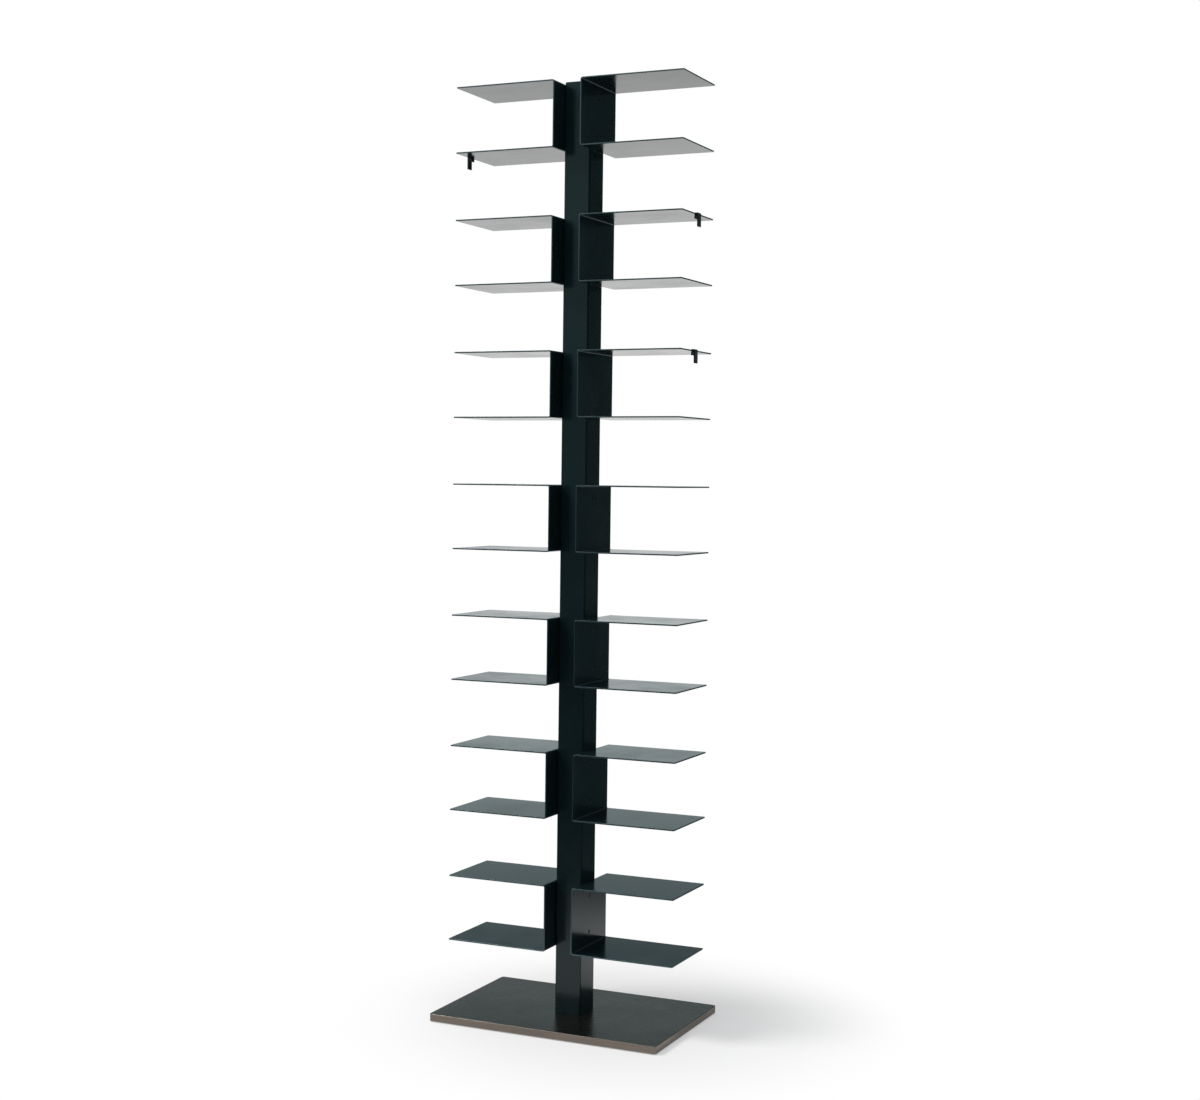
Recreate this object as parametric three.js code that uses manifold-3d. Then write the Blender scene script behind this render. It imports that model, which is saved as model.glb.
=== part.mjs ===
// A tall two-sided tray bookshelf: a box column on a heavy floor plate, with seven
// folded steel trays screwed to each side of it and three clip-on end stops.
// Millimetres. +X runs along the floor plate, +Y to the back, +Z up.
// The origin is on the floor, under the middle of the plate.
import * as THREE from "three";
import * as BufferGeometryUtils from "three/addons/utils/BufferGeometryUtils.js";
import Module from "manifold-3d";

const wasm = await Module();
wasm.setup();

// Driving dimensions
const plateWidth = 540;
const plateDepth = 350;
const plateThickness = 16;
const plateCornerRadius = 7;
const padStandoff = 2;
const columnWidth = 62;
const columnDepth = 72;
const columnWall = 3;
const columnCornerRadius = 4;
const trayCount = 7;
const trayDepth = 180;
const trayInnerHeight = 140;
const trayGap = 145;
const traySheet = 3;
const bendInnerRadius = 2;
const trayCornerRadius = 2;

// Clearances, and how far a cutting shape runs past what it cuts
const fitGap = 0.3;
const gripGap = 0.25;
const overrun = 5;

// Levels and reaches that follow from the driving dimensions
const plateTop = padStandoff + plateThickness;
const trayHeight = trayInnerHeight + 2 * traySheet;
const trayPitch = trayHeight + trayGap;
const columnBottom = plateTop;
const columnTop = columnBottom + trayCount * trayPitch;
const webInside = columnWidth / 2;
const webOutside = webInside + traySheet;
const trayEnd = plateWidth / 2;
const sides = { left: -1, right: 1 };
const trayNumbers = Array.from({ length: trayCount }, (_, index) => index + 1);

// Trays are numbered from the lowest up
const trayBottomOf = (number) => plateTop + trayGap + (number - 1) * trayPitch;

// Materials
const lacquer = new THREE.MeshStandardMaterial({ color: 0x0d1416, roughness: 0.2, metalness: 0.0 });
const plateSteel = new THREE.MeshStandardMaterial({ color: 0x766c62, roughness: 0.38, metalness: 0.9 });
const screwSteel = new THREE.MeshStandardMaterial({ color: 0x16191b, roughness: 0.4, metalness: 0.8 });
const zincSteel = new THREE.MeshStandardMaterial({ color: 0xa8acae, roughness: 0.45, metalness: 0.9 });
const padPlastic = new THREE.MeshStandardMaterial({ color: 0x2b2b2a, roughness: 0.8, metalness: 0.0 });
const clipPlastic = new THREE.MeshStandardMaterial({ color: 0x15191b, roughness: 0.3, metalness: 0.0 });

const shelf = new THREE.Group();

// A closed geometry as a solid for cutting and joining
function solidOf(geometry) {
  const bare = geometry.clone();
  bare.deleteAttribute("normal");
  bare.deleteAttribute("uv");
  const merged = BufferGeometryUtils.mergeVertices(bare);
  const vertProperties = new Float32Array(merged.attributes.position.array);
  const triVerts = new Uint32Array(merged.index.array);
  return new wasm.Manifold(new wasm.Mesh({ numProp: 3, vertProperties, triVerts }));
}

function geometryOf(solid) {
  const mesh = solid.getMesh();
  const geometry = new THREE.BufferGeometry();
  geometry.setAttribute("position", new THREE.BufferAttribute(new Float32Array(mesh.vertProperties), 3));
  geometry.setIndex(new THREE.BufferAttribute(new Uint32Array(mesh.triVerts), 1));
  geometry.computeVertexNormals();
  return geometry;
}

function cut(geometry, tools) {
  const solid = tools.reduce((rest, tool) => rest.subtract(solidOf(tool)), solidOf(geometry));
  return geometryOf(solid);
}

function addPiece(name, geometry, material) {
  const mesh = new THREE.Mesh(geometry, material);
  mesh.name = name;
  shelf.add(mesh);
  return mesh;
}

// Straight lines that stand for a fillet's quarter turn
const filletSteps = 4;

// A closed outline through right-angled corners given as [x, y, fillet radius]
function filletedShape(corners) {
  const points = corners.map(([x, y]) => new THREE.Vector2(x, y));
  const outline = corners.flatMap(([, , radius], index) => {
    const corner = points[index];
    if (radius === 0) {
      return [corner];
    }
    const toBefore = points.at(index - 1).clone().sub(corner).setLength(radius);
    const toAfter = points[(index + 1) % points.length].clone().sub(corner).setLength(radius);
    const centre = corner.clone().add(toBefore).add(toAfter);
    const clockwise = toBefore.cross(toAfter) > 0;
    const startAngle = toAfter.negate().angle();
    const endAngle = toBefore.negate().angle();
    const arc = new THREE.EllipseCurve(centre.x, centre.y, radius, radius, startAngle, endAngle, clockwise);
    return arc.getPoints(filletSteps);
  });
  return new THREE.Shape(outline);
}

function rectangle(width, depth, radius) {
  const x = width / 2;
  const y = depth / 2;
  return filletedShape([[-x, -y, radius], [x, -y, radius], [x, y, radius], [-x, y, radius]]);
}

function extruded(shape, depth) {
  return new THREE.ExtrudeGeometry(shape, { depth, bevelEnabled: false });
}

// An upright slab: the outline in plan, from one height to another
function slab(shape, bottom, top) {
  return extruded(shape, top - bottom).translate(0, 0, bottom);
}

// An outline in the X-Z plane, run along Y and centred on it
function crossBar(shape, length) {
  return extruded(shape, length).translate(0, 0, -length / 2).rotateX(Math.PI / 2);
}

// A turned solid from [radius, height] pairs, standing on Z
function turned(profile, sideCount) {
  const points = profile.map(([radius, height]) => new THREE.Vector2(radius, height));
  return new THREE.LatheGeometry(points, sideCount).rotateX(Math.PI / 2);
}

function disc(radius, bottom, top, sideCount) {
  return turned([[0, bottom], [radius, bottom], [radius, top], [0, top]], sideCount);
}

// A countersunk screw with its flat head at height 0, its thread going up and a hexagon socket
function countersunkScrew(screw) {
  const { threadRadius, headRadius, headHeight, length, socketRadius, socketDepth, sideCount } = screw;
  const profile = [[0, 0], [headRadius, 0], [threadRadius, headHeight], [threadRadius, length], [0, length]];
  return cut(turned(profile, sideCount), [disc(socketRadius, -overrun, socketDepth, 6)]);
}

// The hole that such a screw's head seats in, opening at height 0
function countersunkHole({ threadRadius, headRadius, headHeight, sideCount }, depth) {
  const taper = (headRadius - threadRadius) / headHeight;
  const mouth = headRadius + fitGap + taper * overrun;
  const bore = threadRadius + fitGap;
  const end = depth + overrun;
  return turned([[0, -overrun], [mouth, -overrun], [bore, headHeight], [bore, end], [0, end]], sideCount);
}

// The section inside the column's tube
const innerWidth = columnWidth - 2 * columnWall;
const innerDepth = columnDepth - 2 * columnWall;
const innerRadius = Math.max(columnCornerRadius - columnWall, 0);

// Floor plate, with its pads and its screws into the column's foot
const footThickness = 10;
const footCornerRadius = 3;
const plateScrewEdge = 12;
const plateScrewEngagement = 9;
const padRadius = 15;
const padPocketDepth = 1.5;
const padInset = 36;
const padSideCount = 24;

const plateScrew = {
  threadRadius: 4,
  headRadius: 8,
  headHeight: 4.6,
  length: plateThickness + plateScrewEngagement,
  socketRadius: 2.9,
  socketDepth: 2.6,
  sideCount: 16,
};

const plateCorners = {
  front_left: [-1, -1],
  front_right: [1, -1],
  back_left: [-1, 1],
  back_right: [1, 1],
};

function padPlace([sideX, sideY]) {
  return [sideX * (plateWidth / 2 - padInset), sideY * (plateDepth / 2 - padInset), 0];
}

function plateScrewPlace([sideX, sideY], height) {
  return [sideX * (innerWidth / 2 - plateScrewEdge), sideY * (innerDepth / 2 - plateScrewEdge), height];
}

function makeFloorPlate() {
  const blank = slab(rectangle(plateWidth, plateDepth, plateCornerRadius), padStandoff, plateTop);
  const screwHoles = Object.values(plateCorners).map((corner) =>
    countersunkHole(plateScrew, plateThickness).translate(...plateScrewPlace(corner, padStandoff)));
  const padPockets = Object.values(plateCorners).map((corner) =>
    disc(padRadius + fitGap, -overrun, padStandoff + padPocketDepth, padSideCount)
      .translate(...padPlace(corner)));
  addPiece("floor_plate", cut(blank, [...screwHoles, ...padPockets]), plateSteel);
}

function makePads() {
  for (const [name, corner] of Object.entries(plateCorners)) {
    const geometry = disc(padRadius, 0, padStandoff + padPocketDepth, padSideCount);
    addPiece(`floor_pad_${name}`, geometry, padPlastic).position.set(...padPlace(corner));
  }
}

function makePlateScrews() {
  for (const [name, corner] of Object.entries(plateCorners)) {
    const screw = addPiece(`floor_plate_screw_${name}`, countersunkScrew(plateScrew), screwSteel);
    screw.position.set(...plateScrewPlace(corner, padStandoff));
  }
}

// Column: the box tube, its tapped foot, its cap and two threaded bars behind its walls
const capThickness = 3;
const capCollarHeight = 8;
const capCollarWall = 2;
const barWidth = 24;
const barThickness = 6;
const barEndMargin = 12;

// Two screws hold each tray, one above the other
const trayScrewSpacing = 80;
const trayScrewTip = 2;

const trayScrew = {
  threadRadius: 2.5,
  headRadius: 4.6,
  headHeight: 2.5,
  length: traySheet + columnWall + barThickness + trayScrewTip,
  socketRadius: 1.7,
  socketDepth: 1.4,
  sideCount: 12,
};

function trayScrewHeightsOf(number) {
  const middle = trayBottomOf(number) + trayHeight / 2;
  return { lower: middle - trayScrewSpacing / 2, upper: middle + trayScrewSpacing / 2 };
}

const trayScrewHeights = trayNumbers.flatMap((number) => Object.values(trayScrewHeightsOf(number)));

// Turns a screw or a hole from standing on Z to pointing from a tray at the column
function aimAtColumn(geometry, side, height) {
  return geometry.rotateY((-side * Math.PI) / 2).translate(side * webOutside, 0, height);
}

function trayScrewBores(side) {
  const bore = trayScrew.threadRadius + fitGap;
  return trayScrewHeights.map((height) =>
    aimAtColumn(disc(bore, -overrun, trayScrew.length + overrun, trayScrew.sideCount), side, height));
}

function makeColumnTube() {
  const outline = rectangle(columnWidth, columnDepth, columnCornerRadius);
  outline.holes.push(rectangle(innerWidth, innerDepth, innerRadius));
  const bores = Object.values(sides).flatMap(trayScrewBores);
  addPiece("column_tube", cut(slab(outline, columnBottom, columnTop), bores), lacquer);
}

function makeColumnFoot() {
  const outline = rectangle(innerWidth - 2 * fitGap, innerDepth - 2 * fitGap, footCornerRadius);
  const top = columnBottom + footThickness;
  const bore = plateScrew.threadRadius + fitGap;
  const threads = Object.values(plateCorners).map((corner) =>
    disc(bore, columnBottom - overrun, top + overrun, plateScrew.sideCount)
      .translate(...plateScrewPlace(corner, 0)));
  addPiece("column_foot", cut(slab(outline, columnBottom, top), threads), zincSteel);
}

function makeColumnCap() {
  const width = innerWidth - 2 * fitGap;
  const depth = innerDepth - 2 * fitGap;
  const collar = rectangle(width, depth, footCornerRadius);
  collar.holes.push(rectangle(width - 2 * capCollarWall, depth - 2 * capCollarWall, 0));
  const ring = slab(collar, columnTop - capCollarHeight, columnTop + capThickness / 2);
  const lidOutline = rectangle(columnWidth, columnDepth, columnCornerRadius);
  const lid = slab(lidOutline, columnTop, columnTop + capThickness);
  addPiece("column_cap", geometryOf(solidOf(lid).add(solidOf(ring))), lacquer);
}

function makeThreadedBars() {
  const bottom = Math.min(...trayScrewHeights) - barEndMargin;
  const top = Math.max(...trayScrewHeights) + barEndMargin;
  for (const [name, side] of Object.entries(sides)) {
    const blank = slab(rectangle(barThickness, barWidth, 0), bottom, top);
    blank.translate(side * (innerWidth / 2 - barThickness / 2), 0, 0);
    addPiece(`threaded_bar_${name}`, cut(blank, trayScrewBores(side)), zincSteel);
  }
}

// A tray: one sheet folded twice, with its web against the column
function trayOutline(side) {
  const outerRadius = bendInnerRadius + traySheet;
  const inside = side * webInside;
  const outside = side * webOutside;
  const end = side * trayEnd;
  return filletedShape([
    [end, 0, 0],
    [inside, 0, outerRadius],
    [inside, trayHeight, outerRadius],
    [end, trayHeight, 0],
    [end, trayHeight - traySheet, 0],
    [outside, trayHeight - traySheet, bendInnerRadius],
    [outside, traySheet, bendInnerRadius],
    [end, traySheet, 0],
  ]);
}

function makeTray(name, side, number) {
  const bottom = trayBottomOf(number);
  const folded = solidOf(crossBar(trayOutline(side), trayDepth).translate(0, 0, bottom));
  const plan = rectangle(plateWidth, trayDepth, trayCornerRadius);
  const trimmed = folded.intersect(solidOf(slab(plan, bottom - overrun, bottom + trayHeight + overrun)));
  const holes = Object.values(trayScrewHeightsOf(number)).map((height) =>
    aimAtColumn(countersunkHole(trayScrew, traySheet), side, height));
  addPiece(`tray_${name}_${number}`, cut(geometryOf(trimmed), holes), lacquer);
}

function makeTrayScrews(name, side, number) {
  for (const [level, height] of Object.entries(trayScrewHeightsOf(number))) {
    const geometry = aimAtColumn(countersunkScrew(trayScrew), side, height);
    addPiece(`tray_screw_${name}_${number}_${level}`, geometry, screwSteel);
  }
}

// End stop: a moulded clip that grips a plate's outer edge and slides along it, with a leg
// that hangs down and stops what stands below the plate from sliding off sideways
const stopWidth = 15;
const stopWall = 3.6;
const stopLegLength = 25;
const stopReach = 6;
const stopLip = 1.8;
const stopJaw = 2;
const stopTongueWall = 2.4;
const stopTongueLength = 8;
const stopFillet = 0.8;
const stopShoulderRadius = 2.8;

// The tray that each stop grips, counted from the top, on its lower or its upper plate,
// and the stop's place as a share of the tray's depth
const stops = [
  { name: "end_stop_left", side: "left", fromTop: 0, plate: "lower", depthShare: -0.128 },
  { name: "end_stop_right_upper", side: "right", fromTop: 1, plate: "upper", depthShare: 0.005 },
  { name: "end_stop_right_lower", side: "right", fromTop: 2, plate: "upper", depthShare: -0.045 },
];

// Its section: x runs outwards from the plate's edge, y up from the plate's underside
function stopOutline() {
  const outside = gripGap + stopWall;
  const lipBottom = traySheet + gripGap;
  const lipTop = lipBottom + stopLip;
  const jawBottom = -gripGap - stopJaw;
  const tongueOutside = stopTongueWall - stopReach;
  return filletedShape([
    [outside, lipTop, stopShoulderRadius],
    [-stopReach, lipTop, stopFillet],
    [-stopReach, lipBottom, 0],
    [gripGap, lipBottom, 0],
    [gripGap, -gripGap, 0],
    [-stopReach, -gripGap, 0],
    [-stopReach, -stopTongueLength, stopFillet],
    [tongueOutside, -stopTongueLength, stopFillet],
    [tongueOutside, jawBottom, stopFillet],
    [gripGap, jawBottom, stopFillet],
    [gripGap, -stopLegLength, stopFillet],
    [outside, -stopLegLength, stopFillet],
  ]);
}

function makeStops() {
  for (const { name, side, fromTop, plate, depthShare } of stops) {
    const bottom = trayBottomOf(trayCount - fromTop);
    const underside = plate === "lower" ? bottom : bottom + trayHeight - traySheet;
    const stop = addPiece(name, crossBar(stopOutline(), stopWidth), clipPlastic);
    stop.position.set(sides[side] * trayEnd, depthShare * trayDepth, underside);
    stop.rotation.z = side === "left" ? Math.PI : 0;
  }
}

makeFloorPlate();
makePads();
makePlateScrews();
makeColumnTube();
makeColumnFoot();
makeColumnCap();
makeThreadedBars();
for (const [name, side] of Object.entries(sides)) {
  for (const number of trayNumbers) {
    makeTray(name, side, number);
    makeTrayScrews(name, side, number);
  }
}
makeStops();

export default shelf;
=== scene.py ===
import math

import bmesh
import bpy
from mathutils import Matrix, Vector


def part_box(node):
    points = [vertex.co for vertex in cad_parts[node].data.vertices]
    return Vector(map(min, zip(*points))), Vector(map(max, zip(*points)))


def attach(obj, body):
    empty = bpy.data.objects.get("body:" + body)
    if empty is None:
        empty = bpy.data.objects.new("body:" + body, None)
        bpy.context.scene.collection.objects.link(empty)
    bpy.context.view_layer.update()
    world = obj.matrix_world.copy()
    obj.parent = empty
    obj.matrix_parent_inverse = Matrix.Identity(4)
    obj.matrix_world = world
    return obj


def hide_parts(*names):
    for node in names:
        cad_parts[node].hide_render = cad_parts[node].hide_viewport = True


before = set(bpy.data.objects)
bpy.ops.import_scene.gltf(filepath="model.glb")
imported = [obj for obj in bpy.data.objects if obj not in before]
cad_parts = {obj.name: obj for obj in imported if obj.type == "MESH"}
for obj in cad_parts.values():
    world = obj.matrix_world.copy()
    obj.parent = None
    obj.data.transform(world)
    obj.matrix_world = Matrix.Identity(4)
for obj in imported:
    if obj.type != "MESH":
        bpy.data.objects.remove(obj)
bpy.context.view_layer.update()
scene = bpy.context.scene
scene.view_settings.view_transform = "Standard"
quarterTurn = math.pi / 2
sides = {"left": -1, "right": 1}
trayNumbers = range(1, 8)  # numbered from the lowest up
screwLevels = ("lower", "upper")  # two screws hold each tray
print("frame loaded:", len(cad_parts), "nodes")


# Shader sockets that take part in Python sums

class Wire:
    def __init__(self, shader, socket):
        self.shader = shader
        self.socket = socket

    def sum(self, operation, first, second=0.0):
        return self.shader.add("ShaderNodeMath", {"operation": operation}, [first, second])

    def __add__(self, other):
        return self.sum("ADD", self, other)

    def __sub__(self, other):
        return self.sum("SUBTRACT", self, other)

    def __mul__(self, other):
        return self.sum("MULTIPLY", self, other)

    def __rsub__(self, other):
        return self.sum("SUBTRACT", other, self)

    __radd__ = __add__
    __rmul__ = __mul__

    def clamped(self):
        return self.shader.add("ShaderNodeClamp", {}, [self])

    def stepped(self, low, high):  # 0 below low, 1 above high, smooth between them
        inputs = {"Value": self, "From Min": low, "From Max": high}
        return self.shader.add("ShaderNodeMapRange", {"interpolation_type": "SMOOTHSTEP"}, inputs)


class Shader:
    def __init__(self, owner):
        owner.use_nodes = True
        self.tree = owner.node_tree
        self.tree.nodes.clear()

    def add(self, kind, settings, inputs, output=0):
        node = self.tree.nodes.new(kind)
        for key, value in settings.items():
            setattr(node, key, value)
        named = inputs.items() if isinstance(inputs, dict) else enumerate(inputs)
        for key, value in named:
            self.plug(node.inputs[key], value)
        return Wire(self, node.outputs[output])

    def plug(self, socket, value):
        if isinstance(value, Wire):
            self.tree.links.new(value.socket, socket)
        else:
            socket.default_value = value

    def place(self):  # where on the piece, in metres
        return self.add("ShaderNodeTexCoord", {}, {}, "Object")

    def stretched(self, x, y, z):
        return self.add("ShaderNodeMapping", {}, {"Vector": self.place(), "Scale": (x, y, z)})

    def noise(self, scale, detail=2.0, roughness=0.5, at=None):
        inputs = {"Vector": at or self.place(), "Scale": scale, "Detail": detail, "Roughness": roughness}
        return self.add("ShaderNodeTexNoise", {}, inputs)

    def facingUp(self):
        normal = self.add("ShaderNodeNewGeometry", {}, {}, "Normal")
        return self.add("ShaderNodeSeparateXYZ", {}, [normal], "Z")

    def vector(self, operation, *inputs, output="Vector"):
        return self.add("ShaderNodeVectorMath", {"operation": operation}, inputs, output)

    def blend(self, factor, first, second):
        inputs = {"Factor": factor, 6: first, 7: second}  # 6 and 7 are the Mix node's colours
        return self.add("ShaderNodeMix", {"data_type": "RGBA"}, inputs, 2)

    def bump(self, height, strength, distance):
        return self.add("ShaderNodeBump", {}, {"Height": height, "Strength": strength, "Distance": distance})

    def surface(self, **inputs):
        named = {key.replace("_", " "): value for key, value in inputs.items()}
        skin = self.add("ShaderNodeBsdfPrincipled", {}, named)
        self.close(skin)

    def close(self, skin, kind="ShaderNodeOutputMaterial"):
        self.plug(self.tree.nodes.new(kind).inputs["Surface"], skin)


def newMaterial(name):
    material = bpy.data.materials.new(name)
    return material, Shader(material)


# Gloss lacquer of the trays and the column

lacquerLooks = {
    "black": (0.0040, 0.0114, 0.0130, 1),
    "haze": (0.0052, 0.0134, 0.0153, 1),
    "gloss": 0.42,
    "glossTint": (0.85, 0.98, 1, 1),
    "roughness": 0.16,
    "smears": {"scale": 9.0, "detail": 4.0, "roughness": 0.6},
    "smearLevels": (0.35, 0.75),  # noise from here to here goes from clean to hazy
    "smearDepth": 0.06,
    "edgeSheen": (0.090, 0.124, 0.132, 1),  # painted sheen: a lighter colour on the sheets' cut edges, made metallic below, standing in for the light that their rounded arrises catch
    "edgeSheenRoughness": 0.12,
    "peel": {"scale": 260.0},  # about 4 mm from crest to crest
    "peelBump": (0.05, 0.0004),  # strength, and height in metres
    "dust": (0.16, 0.155, 0.145, 1),
    "specks": {"scale": 1400.0},
    "speckLevels": (0.66, 0.74),
    "dustSlope": (0.8, 0.98),  # dust lies only on faces that look up at least so far
    "dustAmount": 0.10,
}


def makeLacquer():
    looks = lacquerLooks
    material, shader = newMaterial("blackLacquer")
    smears = shader.noise(**looks["smears"]).stepped(*looks["smearLevels"])
    specks = shader.noise(**looks["specks"]).stepped(*looks["speckLevels"])
    settled = shader.facingUp().stepped(*looks["dustSlope"]) * smears * specks * looks["dustAmount"]
    cutEdge = shader.add("ShaderNodeAttribute", {"attribute_name": "cutEdge"}, {}, "Fac")
    coat = shader.blend(smears, looks["black"], looks["haze"])
    # painted sheen: the cut edges take a lighter colour and turn metallic, standing in for light caught on
    # their rounded arrises
    coat = shader.blend(cutEdge, coat, looks["edgeSheen"])
    roughness = smears * looks["smearDepth"] + settled + cutEdge * looks["edgeSheenRoughness"]
    shader.surface(
        Base_Color=shader.blend(settled, coat, looks["dust"]),
        Roughness=roughness + looks["roughness"],
        Metallic=cutEdge,
        Specular_IOR_Level=looks["gloss"],
        Specular_Tint=looks["glossTint"],
        Normal=shader.bump(shader.noise(**looks["peel"]), *looks["peelBump"]),
    )
    return material


# Satin steel of the floor plate, brushed along its length

steelLooks = {
    "light": (0.235, 0.200, 0.170, 1),
    "dark": (0.165, 0.141, 0.121, 1),
    "levels": (0.3, 0.7),
    "grain": {"scale": 1500.0, "detail": 3.0, "roughness": 0.6},
    "grainStretch": 0.012,  # a scratch is this much coarser along than across
    "grainPart": 0.55,  # of the pattern, and the clouds make up the rest
    "grainMiddle": 0.5,
    "grainDepth": 0.14,
    "grainBump": (0.12, 0.0002),
    "clouds": {"scale": 7.0, "detail": 4.0, "roughness": 0.55},
    "cloudDepth": 0.08,
    "roughness": 0.22,
}


def makeSatinSteel():
    looks = steelLooks
    material, shader = newMaterial("satinSteel")
    along = shader.stretched(looks["grainStretch"], 1, 1)
    grain = shader.noise(**looks["grain"], at=along)
    clouds = shader.noise(**looks["clouds"])
    pattern = grain * looks["grainPart"] + clouds * (1 - looks["grainPart"])
    roughness = (grain - looks["grainMiddle"]) * looks["grainDepth"] + clouds * looks["cloudDepth"]
    shader.surface(
        Base_Color=shader.blend(pattern.stepped(*looks["levels"]), looks["dark"], looks["light"]),
        Metallic=1.0,
        Roughness=roughness + looks["roughness"],
        Normal=shader.bump(grain, *looks["grainBump"]),
    )
    return material


# Black oxide of the screws

oxideLooks = {
    "dark": (0.012, 0.013, 0.015, 1),
    "light": (0.035, 0.037, 0.042, 1),
    "metal": 0.85,
    "mottle": {"scale": 900.0, "detail": 4.0},
    "mottleDepth": 0.2,
    "mottleBump": (0.1, 0.0002),
    "roughness": 0.28,
}


def makeBlackOxide():
    looks = oxideLooks
    material, shader = newMaterial("blackOxide")
    mottle = shader.noise(**looks["mottle"])
    shader.surface(
        Base_Color=shader.blend(mottle, looks["dark"], looks["light"]),
        Metallic=looks["metal"],
        Roughness=mottle * looks["mottleDepth"] + looks["roughness"],
        Normal=shader.bump(mottle, *looks["mottleBump"]),
    )
    return material


# Zinc plate of the column's foot and its threaded bars

zincLooks = {
    "dark": (0.36, 0.38, 0.39, 1),
    "light": (0.58, 0.60, 0.61, 1),
    "bloom": {"scale": 60.0, "detail": 5.0, "roughness": 0.65},
    "bloomDepth": 0.2,
    "drawn": {"scale": 1100.0},  # fine upright lines
    "drawnStretch": 0.02,
    "drawnBump": (0.1, 0.0002),
    "roughness": 0.3,
}


def makeZinc():
    looks = zincLooks
    material, shader = newMaterial("zincPlate")
    bloom = shader.noise(**looks["bloom"])
    drawn = shader.noise(**looks["drawn"], at=shader.stretched(1, 1, looks["drawnStretch"]))
    shader.surface(
        Base_Color=shader.blend(bloom, looks["dark"], looks["light"]),
        Metallic=1.0,
        Roughness=bloom * looks["bloomDepth"] + looks["roughness"],
        Normal=shader.bump(drawn, *looks["drawnBump"]),
    )
    return material


# Rubber of the floor pads

rubberLooks = {
    "dark": (0.018, 0.018, 0.018, 1),
    "light": (0.04, 0.04, 0.039, 1),
    "grit": {"scale": 1300.0, "detail": 3.0},
    "gritDepth": 0.2,
    "gritBump": (0.3, 0.0003),
    "roughness": 0.68,
}


def makeRubber():
    looks = rubberLooks
    material, shader = newMaterial("padRubber")
    grit = shader.noise(**looks["grit"])
    shader.surface(
        Base_Color=shader.blend(grit, looks["dark"], looks["light"]),
        Roughness=grit * looks["gritDepth"] + looks["roughness"],
        Normal=shader.bump(grit, *looks["gritBump"]),
    )
    return material


# Half-gloss moulded plastic of the end stops

plasticLooks = {
    "clean": (0.006, 0.008, 0.009, 1),
    "wiped": (0.012, 0.015, 0.017, 1),
    "gloss": 0.4,
    "wipes": {"scale": 80.0, "detail": 3.0},
    "wipeLevels": (0.3, 0.7),
    "wipeDepth": 0.12,
    "texture": {"scale": 1800.0},
    "textureBump": (0.08, 0.0002),
    "roughness": 0.26,
}


def makeClipPlastic():
    looks = plasticLooks
    material, shader = newMaterial("clipPlastic")
    texture = shader.noise(**looks["texture"])
    wipes = shader.noise(**looks["wipes"]).stepped(*looks["wipeLevels"])
    shader.surface(
        Base_Color=shader.blend(wipes, looks["clean"], looks["wiped"]),
        Roughness=wipes * looks["wipeDepth"] + looks["roughness"],
        Specular_IOR_Level=looks["gloss"],
        Normal=shader.bump(texture, *looks["textureBump"]),
    )
    return material


lacquer = makeLacquer()
satinSteel = makeSatinSteel()
blackOxide = makeBlackOxide()
zinc = makeZinc()
rubber = makeRubber()
clipPlastic = makeClipPlastic()
print("materials made")


# Modelling helpers

modelFit = {
    "near": 1e-4,  # in metres, closer than this is the same place, and folding moves points by less
    "aligned": 0.999,  # the cosine above which a face looks along a direction
    "sharpAngle": math.radians(50),
    "smoothAngle": math.radians(40),
    "cornerSteps": 8,
}


def bevelled(bm, parts, width, segments, affect="EDGES"):
    bmesh.ops.bevel(bm, geom=parts, offset=width, offset_type="OFFSET", segments=segments,
                    profile=0.5, affect=affect, material=-1, clamp_overlap=True)


def sharpEdges(bm):
    return [edge for edge in bm.edges if edge.is_manifold and edge.calc_face_angle() > modelFit["sharpAngle"]]


def spanOf(edge, axis):  # how far an edge runs along an axis
    first, second = edge.verts
    return abs(getattr(first.co, axis) - getattr(second.co, axis))


def dropInner(bm, faces):  # an extrusion can leave the face that it started from inside the body
    inner = [face for face in faces if face.is_valid and all(len(edge.link_faces) > 2 for edge in face.edges)]
    bmesh.ops.delete(bm, geom=inner, context="FACES_ONLY")


def pushFaces(bm, faces, shift):
    pushed = bmesh.ops.extrude_face_region(bm, geom=faces)["geom"]
    moved = [part for part in pushed if isinstance(part, bmesh.types.BMVert)]
    bmesh.ops.translate(bm, verts=moved, vec=shift)
    dropInner(bm, faces)
    return [part for part in pushed if isinstance(part, bmesh.types.BMFace)]


def unitSquare():
    bm = bmesh.new()
    bmesh.ops.create_grid(bm, x_segments=1, y_segments=1, size=0.5)
    return bm


def roundedSlab(low, high, cornerRadius):  # an upright block with rounded corners in plan
    bm = unitSquare()
    bmesh.ops.scale(bm, vec=(high.x - low.x, high.y - low.y, 1), verts=bm.verts)
    bevelled(bm, bm.verts[:], cornerRadius, modelFit["cornerSteps"], "VERTICES")
    bmesh.ops.translate(bm, verts=bm.verts, vec=((low.x + high.x) / 2, (low.y + high.y) / 2, low.z))
    pushFaces(bm, bm.faces[:], (0, 0, high.z - low.z))
    bmesh.ops.recalc_face_normals(bm, faces=bm.faces)
    return bm


def addCylinder(bm, segments, radius, depth):  # upright, its middle at the origin
    made = bmesh.ops.create_cone(bm, cap_ends=True, segments=segments, depth=depth,
                                 radius1=radius, radius2=radius)
    return made["verts"]


def flatFaces(bm, direction, level):  # the faces that look along a direction at a level along it
    direction = Vector(direction)
    return [face for face in bm.faces if face.normal.dot(direction) > modelFit["aligned"]
            and abs(face.calc_center_median().dot(direction) - level) < modelFit["near"]]


def meshOf(bm, name):
    mesh = bpy.data.meshes.new(name)
    bm.to_mesh(mesh)
    bm.free()
    return mesh


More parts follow.
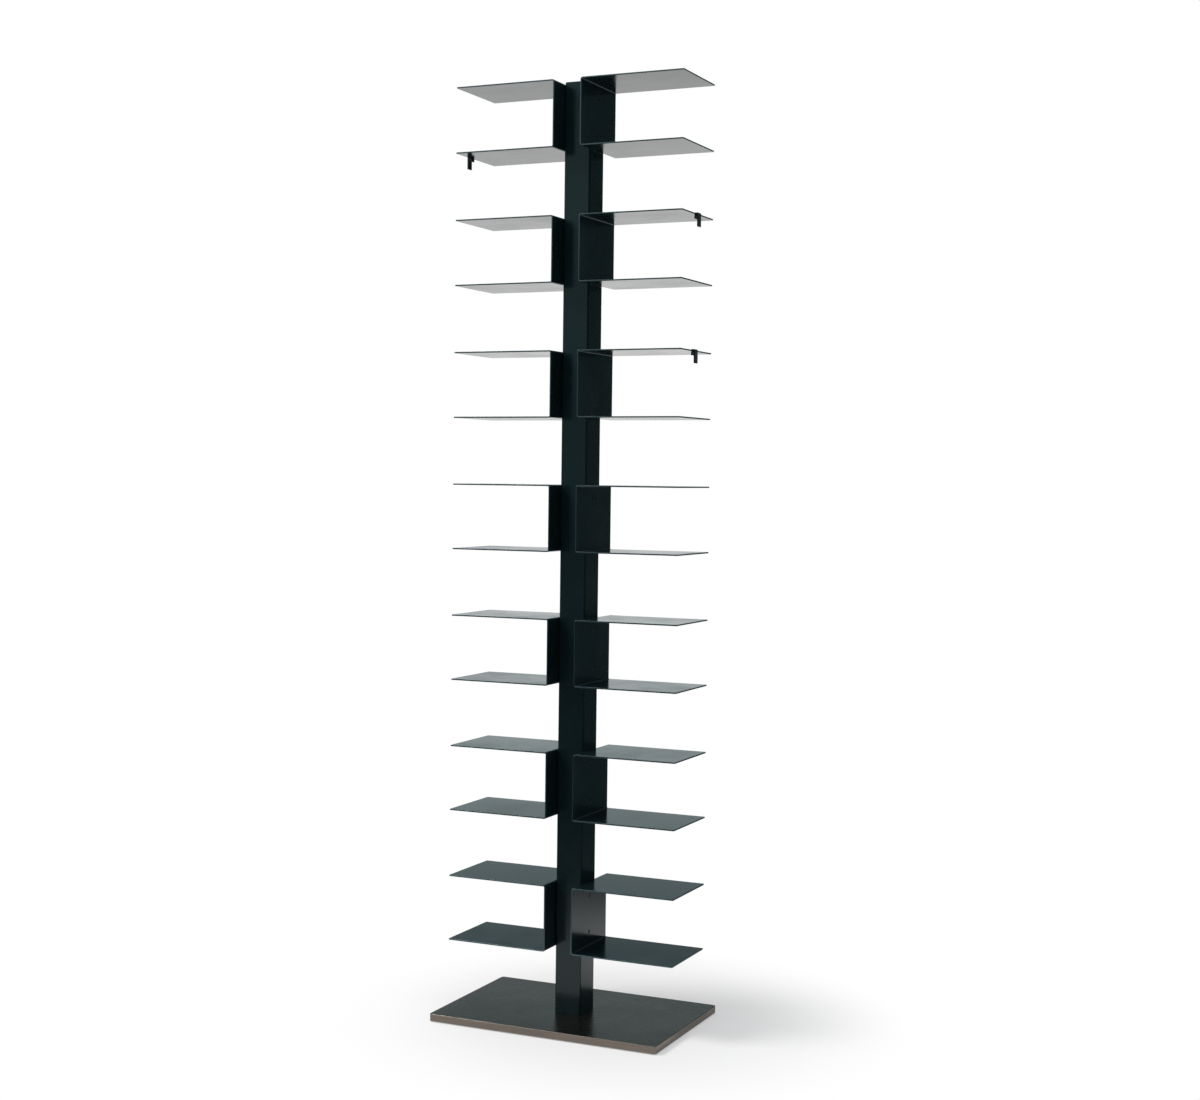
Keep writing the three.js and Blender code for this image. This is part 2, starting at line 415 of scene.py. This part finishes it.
def cutBy(mesh, cutter):  # the mesh with the cutter's bmesh taken away
    body = bpy.data.objects.new("body", mesh)
    tool = bpy.data.objects.new("tool", meshOf(cutter, "tool"))
    for item in (body, tool):
        scene.collection.objects.link(item)
    modifier = body.modifiers.new("holes", "BOOLEAN")
    modifier.object = tool
    modifier.solver = "EXACT"
    bpy.context.view_layer.update()
    done = bpy.data.meshes.new_from_object(body.evaluated_get(bpy.context.evaluated_depsgraph_get()))
    for item in (body, tool):
        bpy.data.objects.remove(item)
    return done


def finishPiece(mesh, name, body, slot, material, *nodes):
    mesh.name = name
    mesh.materials.clear()
    mesh.materials.append(material)
    mesh.shade_smooth()
    mesh.set_sharp_from_angle(angle=modelFit["smoothAngle"])
    piece = bpy.data.objects.new(name, mesh)
    scene.collection.objects.link(piece)
    normals = piece.modifiers.new("normals", "WEIGHTED_NORMAL")
    normals.keep_sharp = True
    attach(piece, body)
    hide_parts(*nodes)
    return piece


# Countersunk screws and the holes that they seat in

traySet = {  # radii and depths
    "thread": 0.0025, "head": 0.0046, "headDepth": 0.0025, "socket": 0.0017, "socketDepth": 0.0014,
}
plateSet = {
    "thread": 0.004, "head": 0.008, "headDepth": 0.0046, "socket": 0.0029, "socketDepth": 0.0026,
}
screwFit = {
    "sides": 36,
    "socketSides": 6,
    "rim": 0.0002,
    "rimSteps": 2,
    "tip": 0.0005,
    "gap": 0.0003,
    "overrun": 0.003,  # how far a hole's cutter stands out of the surface
}


def makeScrew(sizes, length):  # head at height 0, thread going up
    bm = bmesh.new()
    head = bmesh.ops.create_circle(bm, segments=screwFit["sides"], radius=sizes["head"])["verts"]
    rim = list({edge for vert in head for edge in vert.link_edges})
    socket = bmesh.ops.create_circle(bm, segments=screwFit["socketSides"], radius=sizes["socket"])["verts"]
    mouth = list({edge for vert in socket for edge in vert.link_edges})
    bmesh.ops.bridge_loops(bm, edges=rim + mouth)
    sunk = bmesh.ops.extrude_edge_only(bm, edges=mouth)["geom"]
    floor = [part for part in sunk if isinstance(part, bmesh.types.BMVert)]
    bmesh.ops.translate(bm, verts=floor, vec=(0, 0, sizes["socketDepth"]))
    bmesh.ops.contextual_create(bm, geom=floor)
    steps = [(sizes["headDepth"], sizes["thread"]), (length - screwFit["tip"], sizes["thread"]),
             (length, sizes["thread"] - screwFit["tip"])]
    ring, radius, level = rim, sizes["head"], 0
    for height, newRadius in steps:
        grown = bmesh.ops.extrude_edge_only(bm, edges=ring)["geom"]
        verts = [part for part in grown if isinstance(part, bmesh.types.BMVert)]
        ring = [part for part in grown if isinstance(part, bmesh.types.BMEdge)
                and all(vert in verts for vert in part.verts)]
        share = newRadius / radius
        bmesh.ops.scale(bm, vec=(share, share, 1), verts=verts)
        bmesh.ops.translate(bm, verts=verts, vec=(0, 0, height - level))
        radius, level = newRadius, height
    bmesh.ops.contextual_create(bm, geom=verts)
    bmesh.ops.recalc_face_normals(bm, faces=bm.faces)
    bevelled(bm, [edge for edge in rim if edge.is_valid], screwFit["rim"], screwFit["rimSteps"])
    return bm


def addHole(bm, sizes, depth, place):  # a cutter for such a screw, placed by a matrix
    gap, overrun = screwFit["gap"], screwFit["overrun"]
    slope = (sizes["head"] - sizes["thread"]) / sizes["headDepth"]
    mouthDepth = sizes["headDepth"] + overrun
    mouth = bmesh.ops.create_cone(
        bm, cap_ends=True, segments=screwFit["sides"], depth=mouthDepth,
        radius1=sizes["head"] + gap + slope * overrun, radius2=sizes["thread"] + gap)["verts"]
    bmesh.ops.translate(bm, verts=mouth, vec=(0, 0, mouthDepth / 2 - overrun))
    around = {face for vert in mouth for face in vert.link_faces}
    end = [face for face in around if face.normal.z > modelFit["aligned"]]
    shaft = pushFaces(bm, end, (0, 0, depth + overrun - sizes["headDepth"]))
    verts = set(mouth) | {vert for face in shaft for vert in face.verts}
    bmesh.ops.transform(bm, matrix=place, verts=[vert for vert in verts if vert.is_valid])


# Column, in the frame's own sizes

columnLooks = {
    "wall": 0.003,
    "cornerRadius": 0.004,
    "arris": 0.0004,
    "arrisSteps": 2,
    "bore": 0.02,  # length of a bore's cutter, more than the wall
    "capArrisSteps": 3,
    "collar": 0.002,  # wall of the cap's collar
    "fit": 0.0003,  # free space between the collar and the tube
}


def screwPlaces(side):  # the middle of each tray screw, from the CAD
    found = {}
    for number in trayNumbers:
        for level in screwLevels:
            low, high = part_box(f"tray_screw_{side}_{number}_{level}")
            found[number, level] = (low + high) / 2
    return found


def aimAtColumn(side, face, height):  # turns Z to point from a tray at the column
    turn = Matrix.Rotation(-sides[side] * quarterTurn, 4, "Y")
    return Matrix.Translation((face, 0, height)) @ turn


def webFace(side):  # the open face of the trays' webs
    low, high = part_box(f"tray_screw_{side}_1_lower")
    return high.x if side == "right" else low.x


def makeColumn():
    looks = columnLooks
    low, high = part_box("column_tube")
    bm = roundedSlab(low, high, looks["cornerRadius"])
    ends = flatFaces(bm, (0, 0, 1), high.z) + flatFaces(bm, (0, 0, -1), -low.z)
    bmesh.ops.delete(bm, geom=ends, context="FACES_ONLY")
    bmesh.ops.recalc_face_normals(bm, faces=bm.faces)
    bmesh.ops.solidify(bm, geom=bm.faces[:], thickness=looks["wall"])
    bmesh.ops.recalc_face_normals(bm, faces=bm.faces)
    rims = [edge for edge in sharpEdges(bm) if spanOf(edge, "z") < modelFit["near"]]
    bevelled(bm, rims, looks["arris"], looks["arrisSteps"])
    boreRadius = traySet["thread"] + screwFit["gap"]
    cutter = bmesh.new()
    for side in sides:
        wallMiddle = sides[side] * (high.x - looks["wall"] / 2)
        for place in screwPlaces(side).values():
            bore = addCylinder(cutter, screwFit["sides"], boreRadius, looks["bore"])
            bmesh.ops.transform(cutter, matrix=aimAtColumn(side, wallMiddle, place.z), verts=bore)
    mesh = cutBy(meshOf(bm, "column"), cutter)
    finishPiece(mesh, "columnTube", "shelf", "black_lacquer", lacquer, "column_tube")


def makeCap():
    looks = columnLooks
    tubeLow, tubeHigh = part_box("column_tube")
    low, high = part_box("column_cap")
    bm = roundedSlab(Vector((low.x, low.y, tubeHigh.z)), high, looks["cornerRadius"])
    bevelled(bm, sharpEdges(bm), looks["arris"], looks["capArrisSteps"])
    under = flatFaces(bm, (0, 0, -1), -tubeHigh.z)
    inset = looks["wall"] + looks["fit"] - looks["arris"]
    bmesh.ops.inset_region(bm, faces=under, thickness=inset, use_even_offset=True)
    collar = pushFaces(bm, under, (0, 0, low.z - tubeHigh.z))
    bmesh.ops.inset_region(bm, faces=collar, thickness=looks["collar"], use_even_offset=True)
    pushFaces(bm, collar, (0, 0, tubeHigh.z - low.z))
    finishPiece(meshOf(bm, "cap"), "columnCap", "shelf", "black_lacquer", lacquer, "column_cap")


makeColumn()
makeCap()
print("column made")


# Trays: each one sheet, folded twice

trayLooks = {
    "sheet": 0.003,
    "bend": 0.002,  # radius inside a fold
    "bendSteps": 10,
    "corner": 0.002,
    "cornerSteps": 4,
    "arris": 0.0006,
    "arrisSteps": 3,
    "rim": 0.001,  # how far in from the sheet's outline the painted sheen of its cut edge goes
}


def foldSheet(bm, faces, centre, angle):
    turned = bmesh.ops.spin(bm, geom=faces, cent=centre, axis=(0, 1, 0), dvec=(0, 0, 0), angle=angle,
                            steps=trayLooks["bendSteps"], use_merge=False, use_duplicate=False)
    dropInner(bm, faces)
    return [part for part in turned["geom_last"] if isinstance(part, bmesh.types.BMFace)]


def markCutEdges(mesh, end, front):  # 1 on the faces that lie at the sheet's cut edges, which the lacquer gives a painted sheen
    marks = mesh.attributes.new("cutEdge", "FLOAT", "FACE")
    for face, mark in zip(mesh.polygons, marks.data):
        inward = min(abs(end - face.center.x), abs(front) - abs(face.center.y))
        mark.value = float(inward < trayLooks["rim"])


def makeTray(side, number):
    looks = trayLooks
    low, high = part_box(f"tray_{side}_{number}")
    sheet, bend = looks["sheet"], looks["bend"]
    way = sides[side]
    end, back = (high.x, low.x) if way > 0 else (low.x, high.x)
    bm = unitSquare()
    bmesh.ops.scale(bm, vec=(sheet, high.y - low.y, 1), verts=bm.verts)
    bmesh.ops.rotate(bm, verts=bm.verts, matrix=Matrix.Rotation(quarterTurn, 3, "Y"))
    bmesh.ops.translate(bm, verts=bm.verts, vec=(end, (low.y + high.y) / 2, low.z + sheet / 2))
    plate = abs(end - back) - sheet - bend
    web = high.z - low.z - 2 * (sheet + bend)
    hinge = back + way * (sheet + bend)
    face = pushFaces(bm, bm.faces[:], (-way * plate, 0, 0))
    face = foldSheet(bm, face, (hinge, 0, low.z + sheet + bend), way * quarterTurn)
    face = pushFaces(bm, face, (0, 0, web))
    face = foldSheet(bm, face, (hinge, 0, high.z - sheet - bend), way * quarterTurn)
    pushFaces(bm, face, (way * plate, 0, 0))
    bmesh.ops.recalc_face_normals(bm, faces=bm.faces)
    tips = [edge for edge in sharpEdges(bm) if spanOf(edge, "y") < modelFit["near"]
            and all(abs(vert.co.x - end) < modelFit["near"] for vert in edge.verts)]
    bevelled(bm, tips, looks["corner"], looks["cornerSteps"])
    bevelled(bm, sharpEdges(bm), looks["arris"], looks["arrisSteps"])
    cutter = bmesh.new()
    for level in screwLevels:
        height = screwPlaces(side)[number, level].z
        addHole(cutter, traySet, sheet, aimAtColumn(side, webFace(side), height))
    mesh = cutBy(meshOf(bm, "tray"), cutter)
    markCutEdges(mesh, end, low.y)
    finishPiece(mesh, f"{side}Tray{number}", "shelf", "black_lacquer", lacquer, f"tray_{side}_{number}")


def makeTrayScrews(side):
    for (number, level), place in screwPlaces(side).items():
        node = f"tray_screw_{side}_{number}_{level}"
        low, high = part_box(node)
        bm = makeScrew(traySet, high.x - low.x)
        bmesh.ops.transform(bm, matrix=aimAtColumn(side, webFace(side), place.z), verts=bm.verts)
        name = f"{side}Tray{number}Screw{level.capitalize()}"
        finishPiece(meshOf(bm, name), name, "shelf", "screw_steel", blackOxide, node)


for side in sides:
    for number in trayNumbers:
        makeTray(side, number)
    makeTrayScrews(side)
print("trays and their screws made")


# Floor plate, with its screws and pads

plateLooks = {
    "cornerRadius": 0.007,
    "arris": 0.0009,
    "arrisSteps": 3,
    "padSides": 64,
    "padGap": 0.0003,  # free space round a pad in its pocket
    "padArris": 0.0005,
    "padArrisSteps": 3,
}
corners = [f"{depth}_{side}" for depth in ("front", "back") for side in sides]


def makeFloorPlate():
    looks = plateLooks
    low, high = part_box("floor_plate")
    bm = roundedSlab(low, high, looks["cornerRadius"])
    bevelled(bm, sharpEdges(bm), looks["arris"], looks["arrisSteps"])
    cutter = bmesh.new()
    for corner in corners:
        screwLow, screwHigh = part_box(f"floor_plate_screw_{corner}")
        middle = (screwLow + screwHigh) / 2
        addHole(cutter, plateSet, high.z - low.z, Matrix.Translation((middle.x, middle.y, low.z)))
        padLow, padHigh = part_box(f"floor_pad_{corner}")
        middle = (padLow + padHigh) / 2
        radius = (padHigh.x - padLow.x) / 2 + looks["padGap"]
        pocket = addCylinder(cutter, looks["padSides"], radius, 2 * (padHigh.z - low.z))
        bmesh.ops.translate(cutter, verts=pocket, vec=(middle.x, middle.y, low.z))
    mesh = cutBy(meshOf(bm, "plate"), cutter)
    finishPiece(mesh, "floorPlate", "shelf", "plate_steel", satinSteel, "floor_plate")


def makePlateScrews():
    for corner in corners:
        node = f"floor_plate_screw_{corner}"
        low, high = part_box(node)
        bm = makeScrew(plateSet, high.z - low.z)
        middle = (low + high) / 2
        bmesh.ops.translate(bm, verts=bm.verts, vec=(middle.x, middle.y, low.z))
        finishPiece(meshOf(bm, node), f"plateScrew_{corner}", "shelf", "screw_steel", blackOxide, node)


def makePads():
    looks = plateLooks
    for corner in corners:
        node = f"floor_pad_{corner}"
        low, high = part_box(node)
        bm = bmesh.new()
        addCylinder(bm, looks["padSides"], (high.x - low.x) / 2, high.z - low.z)
        bevelled(bm, sharpEdges(bm), looks["padArris"], looks["padArrisSteps"])
        bmesh.ops.translate(bm, verts=bm.verts, vec=(low + high) / 2)
        finishPiece(meshOf(bm, node), f"pad_{corner}", "shelf", "pad_rubber", rubber, node)


makeFloorPlate()
makePlateScrews()
makePads()
print("floor plate made")


# End stops: moulded clips on the outer edges of three plates

stopLooks = {
    "wall": 0.0036,  # of the leg, outside the plate's end
    "reach": 0.006,  # of the lip and the jaw, in over the plate
    "lip": 0.0018,  # thickness above the plate
    "jaw": 0.002,  # thickness below it
    "grip": 0.00025,  # free space round the plate
    "tongueWall": 0.0024,
    "tongueLength": 0.008,
    "shoulder": 0.0028,
    "shoulderSteps": 8,
    "tip": 0.0008,
    "tipSteps": 4,
    "arris": 0.0002,
    "arrisSteps": 2,
}


def acrossEdges(edges):  # those that run along the plate's end
    return [edge for edge in edges if spanOf(edge, "y") > modelFit["near"]]


def makeStop(name, side, node, body):
    looks = stopLooks
    low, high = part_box(node)
    sheet, grip, jaw = trayLooks["sheet"], looks["grip"], looks["jaw"]
    top = high.z
    gripTop, gripBottom = top - looks["lip"], top - looks["lip"] - sheet - 2 * grip
    under = gripBottom + grip
    tongueEnd = under - looks["tongueLength"]
    outside = high.x if side == "right" else -low.x
    plateEnd = outside - looks["wall"]
    inside = plateEnd - grip - looks["reach"]
    tongue = inside + looks["tongueWall"]
    section = [
        (outside, top), (inside, top), (inside, gripTop), (plateEnd, gripTop), (plateEnd, gripBottom),
        (inside, gripBottom), (inside, tongueEnd), (tongue, tongueEnd),
        (tongue, gripBottom - jaw), (plateEnd, gripBottom - jaw), (plateEnd, low.z), (outside, low.z),
    ]
    bm = bmesh.new()
    outline = bm.faces.new([bm.verts.new((sides[side] * x, low.y, z)) for x, z in section])
    pushFaces(bm, [outline], (0, high.y - low.y, 0))
    bmesh.ops.recalc_face_normals(bm, faces=bm.faces)
    shoulder = [edge for edge in acrossEdges(bm.edges) if edge.verts[0].co.z > top - modelFit["near"]
                and abs(edge.verts[0].co.x) > outside - modelFit["near"]]
    bevelled(bm, shoulder, looks["shoulder"], looks["shoulderSteps"])
    slotLow, slotHigh = under - jaw / 2, gripTop + looks["lip"] / 2
    tips = [edge for edge in acrossEdges(sharpEdges(bm)) if not slotLow < edge.verts[0].co.z < slotHigh]
    bevelled(bm, tips, looks["tip"], looks["tipSteps"])
    bevelled(bm, sharpEdges(bm), looks["arris"], looks["arrisSteps"])
    finishPiece(meshOf(bm, name), name, body, "clip_plastic", clipPlastic, node)


makeStop("endStopLeft", "left", "end_stop_left", "stop_left")
makeStop("endStopRightUpper", "right", "end_stop_right_upper", "stop_right_upper")
makeStop("endStopRightLower", "right", "end_stop_right_lower", "stop_right_lower")
print("end stops made")


# What stays as it was built: the hidden foot and the threaded bars

for name in ("column_foot", "threaded_bar_left", "threaded_bar_right"):
    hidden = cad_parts[name].data
    hidden.materials.clear()
    hidden.materials.append(zinc)


# The studio that shows in the gloss: a white backdrop and ceiling, a soft left side, the rest dim

plainWhite = (1, 1, 1, 1)
studioLooks = {
    "fill": 0.44,
    "fillColour": (0.97, 0.985, 1, 1),
    "dim": 0.06,
    "dimColour": (0.50, 0.93, 1, 1),
    "backdrop": ((-0.457, 0.889, 0.0), 0.68, 0.88, 1.0),  # direction, cosines of its edge, strength
    "ceiling": ((0.0, 0.0, 1.0), 0.30, 0.90, 0.80),
    "leftSide": ((-0.80, -0.60, 0.0), 0.30, 0.95, 0.50),
    "backdropTop": (0.04, 0.30),  # rising from here to here, the backdrop falls to dim
    "leftSideFoot": (-0.12, 0.14),  # and the left side comes up from dim
    "middleHeight": 1.0,  # from which the floor's directions are taken
}


def studioCards(shader, way, kind):  # the studio's light from a direction, as an emission or a background
    looks = studioLooks
    level = looks["dim"]
    rise = shader.add("ShaderNodeSeparateXYZ", {}, [way], "Z")
    for card in ("backdrop", "ceiling", "leftSide"):
        direction, edge, full, strength = looks[card]
        part = shader.vector("DOT_PRODUCT", way, direction, output="Value").stepped(edge, full)
        if card == "backdrop":
            part = part * (1 - rise.stepped(*looks["backdropTop"]))
        if card == "leftSide":
            part = part * rise.stepped(*looks["leftSideFoot"])
        level = part * (strength - looks["dim"]) + level
    colour = shader.blend(level.clamped(), looks["dimColour"], plainWhite)
    return shader.add(kind, {}, {"Color": colour, "Strength": level})


# Floor and light

floorLooks = {
    "reach": 30.0,
    "colour": (0.92, 0.92, 0.925, 1),
    "middle": (0.08, 0.03, 0),  # from which the two fades are measured, in metres
    "seenFade": (0.26, 0.68),  # from here to here the floor turns to the white background
    "glossFade": (0.6, 1.6),  # and, as the gloss mirrors it, to the studio
    "leastWhite": 0.35,
}


def raysOf(shader, *kinds):  # 1 for rays of these kinds, 0 for the others
    path = shader.tree.nodes.new("ShaderNodeLightPath")
    total = 0.0
    for kind in kinds:
        total = Wire(shader, path.outputs[f"Is {kind} Ray"]) + total
    return total.clamped()


def makeFloor():
    looks = floorLooks
    bm = bmesh.new()
    bmesh.ops.create_grid(bm, x_segments=1, y_segments=1, size=looks["reach"])
    material, shader = newMaterial("paleFloor")
    away = shader.vector("DISTANCE", shader.place(), looks["middle"], output="Value")
    way = shader.vector("SUBTRACT", shader.place(), (0, 0, studioLooks["middleHeight"]))
    way = shader.vector("NORMALIZE", way)
    matt = shader.add("ShaderNodeBsdfDiffuse", {}, {"Color": looks["colour"]})
    white = shader.add("ShaderNodeEmission", {}, {"Color": plainWhite, "Strength": 1.0})
    cards = studioCards(shader, way, "ShaderNodeEmission")
    inGloss = away.stepped(*looks["glossFade"]) * raysOf(shader, "Glossy")
    mixed = shader.add("ShaderNodeMixShader", {}, [inGloss, matt, cards])
    whiteness = away.stepped(*looks["seenFade"]) * (1 - looks["leastWhite"]) + looks["leastWhite"]
    inView = whiteness * raysOf(shader, "Camera", "Transmission")
    mixed = shader.add("ShaderNodeMixShader", {}, [inView, mixed, white])
    shader.close(mixed)
    mesh = meshOf(bm, "floor")
    mesh.materials.append(material)
    floor = bpy.data.objects.new("floor", mesh)
    scene.collection.objects.link(floor)


def makeWorld():
    looks = studioLooks
    world = bpy.data.worlds.new("studio")
    scene.world = world
    shader = Shader(world)
    way = shader.add("ShaderNodeTexCoord", {}, {}, "Generated")
    fill = shader.add("ShaderNodeBackground", {}, {"Color": looks["fillColour"], "Strength": looks["fill"]})
    cards = studioCards(shader, way, "ShaderNodeBackground")
    white = shader.add("ShaderNodeBackground", {}, {"Color": plainWhite, "Strength": 1.0})
    gloss = shader.add("ShaderNodeMixShader", {}, [raysOf(shader, "Glossy"), fill, cards])
    seen = shader.add("ShaderNodeMixShader", {}, [raysOf(shader, "Camera", "Transmission"), gloss, white])
    shader.close(seen, "ShaderNodeOutputWorld")


lampLooks = {
    "key": {
        "place": (-3.0, -1.7, 3.9),
        "target": (0, 0, 0.7),
        "size": 1.9,
        "power": 150,
        "colour": (1, 0.985, 0.96),
    },
    "top": {
        "place": (0.6, -0.8, 4.4),
        "target": (0, 0, 1.0),
        "size": 2.6,
        "power": 32,
        "colour": (0.97, 0.985, 1),
    },
}


def makeLamp(name, looks):
    lamp = bpy.data.lights.new(name, "AREA")
    lamp.shape = "DISK"
    lamp.size = looks["size"]
    lamp.energy = looks["power"]
    lamp.color = looks["colour"]
    holder = bpy.data.objects.new(name, lamp)
    holder.location = looks["place"]
    aim = Vector(looks["target"]) - Vector(looks["place"])
    holder.rotation_euler = aim.to_track_quat("-Z", "Y").to_euler()
    scene.collection.objects.link(holder)


makeFloor()
makeWorld()
for name, looks in lampLooks.items():
    makeLamp(name, looks)
print("floor and light made")


# Camera, fitted to the photograph

cameraLooks = {
    "distance": 4.16683,  # from the column's axis, in plan
    "height": 1.2,
    "azimuth": 25.1104,  # where the camera stands, in degrees as the rest
    "yaw": -24.4962,
    "pitch": -1.7538,
    "roll": 0.6931,
    "imageWidth": 1200,  # of the photograph, in pixels
    "focalPixels": 1891.77,
    "shiftPixels": -15,
}


def makeCamera():
    looks = cameraLooks
    azimuth, yaw, pitch, roll = (math.radians(looks[key]) for key in ("azimuth", "yaw", "pitch", "roll"))
    ahead = Vector((math.sin(yaw) * math.cos(pitch), math.cos(yaw) * math.cos(pitch), math.sin(pitch)))
    levelRight = Vector((math.cos(yaw), -math.sin(yaw), 0))
    levelUp = levelRight.cross(ahead)
    right = math.cos(roll) * levelRight + math.sin(roll) * levelUp
    up = -math.sin(roll) * levelRight + math.cos(roll) * levelUp
    camera = bpy.data.cameras.new("photoCamera")
    camera.lens = looks["focalPixels"] / looks["imageWidth"] * camera.sensor_width
    camera.shift_y = looks["shiftPixels"] / looks["imageWidth"]
    holder = bpy.data.objects.new("photoCamera", camera)
    holder.matrix_world = Matrix.Translation((
        looks["distance"] * math.sin(azimuth), -looks["distance"] * math.cos(azimuth), looks["height"],
    )) @ Matrix((right, up, -ahead)).transposed().to_4x4()
    scene.collection.objects.link(holder)
    scene.camera = holder


makeCamera()
print("camera set")
